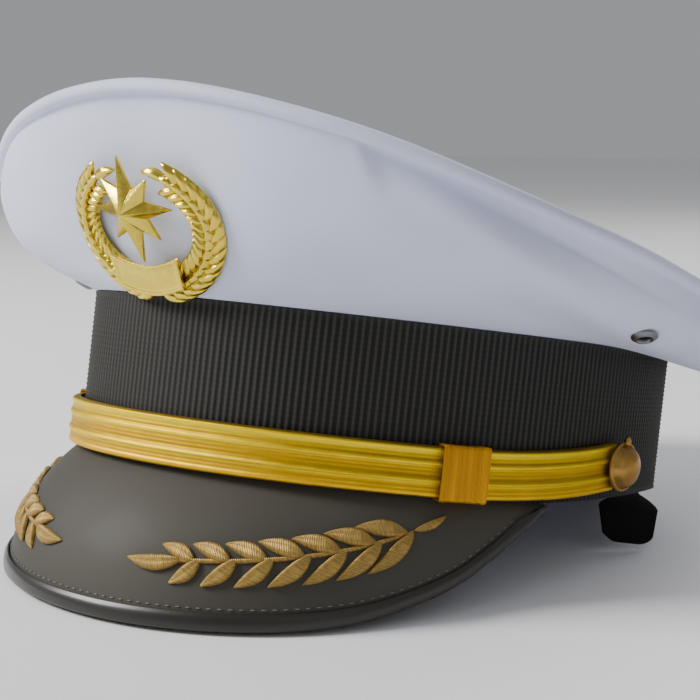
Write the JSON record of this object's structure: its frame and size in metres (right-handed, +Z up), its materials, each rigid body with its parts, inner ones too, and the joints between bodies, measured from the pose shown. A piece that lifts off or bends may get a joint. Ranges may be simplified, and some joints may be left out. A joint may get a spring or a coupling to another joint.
{
  "type": "peaked sailor cap",
  "caption": "White peaked sailor cap with a black ribbed band, black peak with gold laurel, gold strap and a wreath badge, resting on its peak.",
  "frame": {"origin": "centre of the bounding box's bottom face, on the surface that the cap rests on", "axes": "+Z up; the front and its peak face -Y; the wearer's left is +X"},
  "size_m": [0.2544, 0.2746, 0.1444],
  "materials": {
    "white_cloth": "fine matt weave",
    "black_webbing": "ribbed, matt",
    "black_leather": "polished",
    "gold_braid": "satin braid",
    "gold_thread": "metallic thread",
    "gilt": "polished",
    "steel": "plain"
  },
  "bodies": {
    "root": {"band": "black_webbing", "crown_wall": "white_cloth", "crown_rim": "white_cloth", "crown_top": "white_cloth", "peak": "black_leather", "peak_binding": "black_leather", "laurel_left": "gold_thread", "laurel_right": "gold_thread", "chin_strap": "gold_braid", "strap_keeper_left": "gold_braid", "strap_keeper_right": "gold_braid", "side_button_left": "gilt", "side_button_right": "gilt", "badge_wreath": "gilt", "badge_star": "gilt", "badge_scroll": "gilt", "vent_eyelet_left": "steel", "vent_eyelet_right": "steel", "size_tab": "black_webbing"}
  },
  "joints": []
}
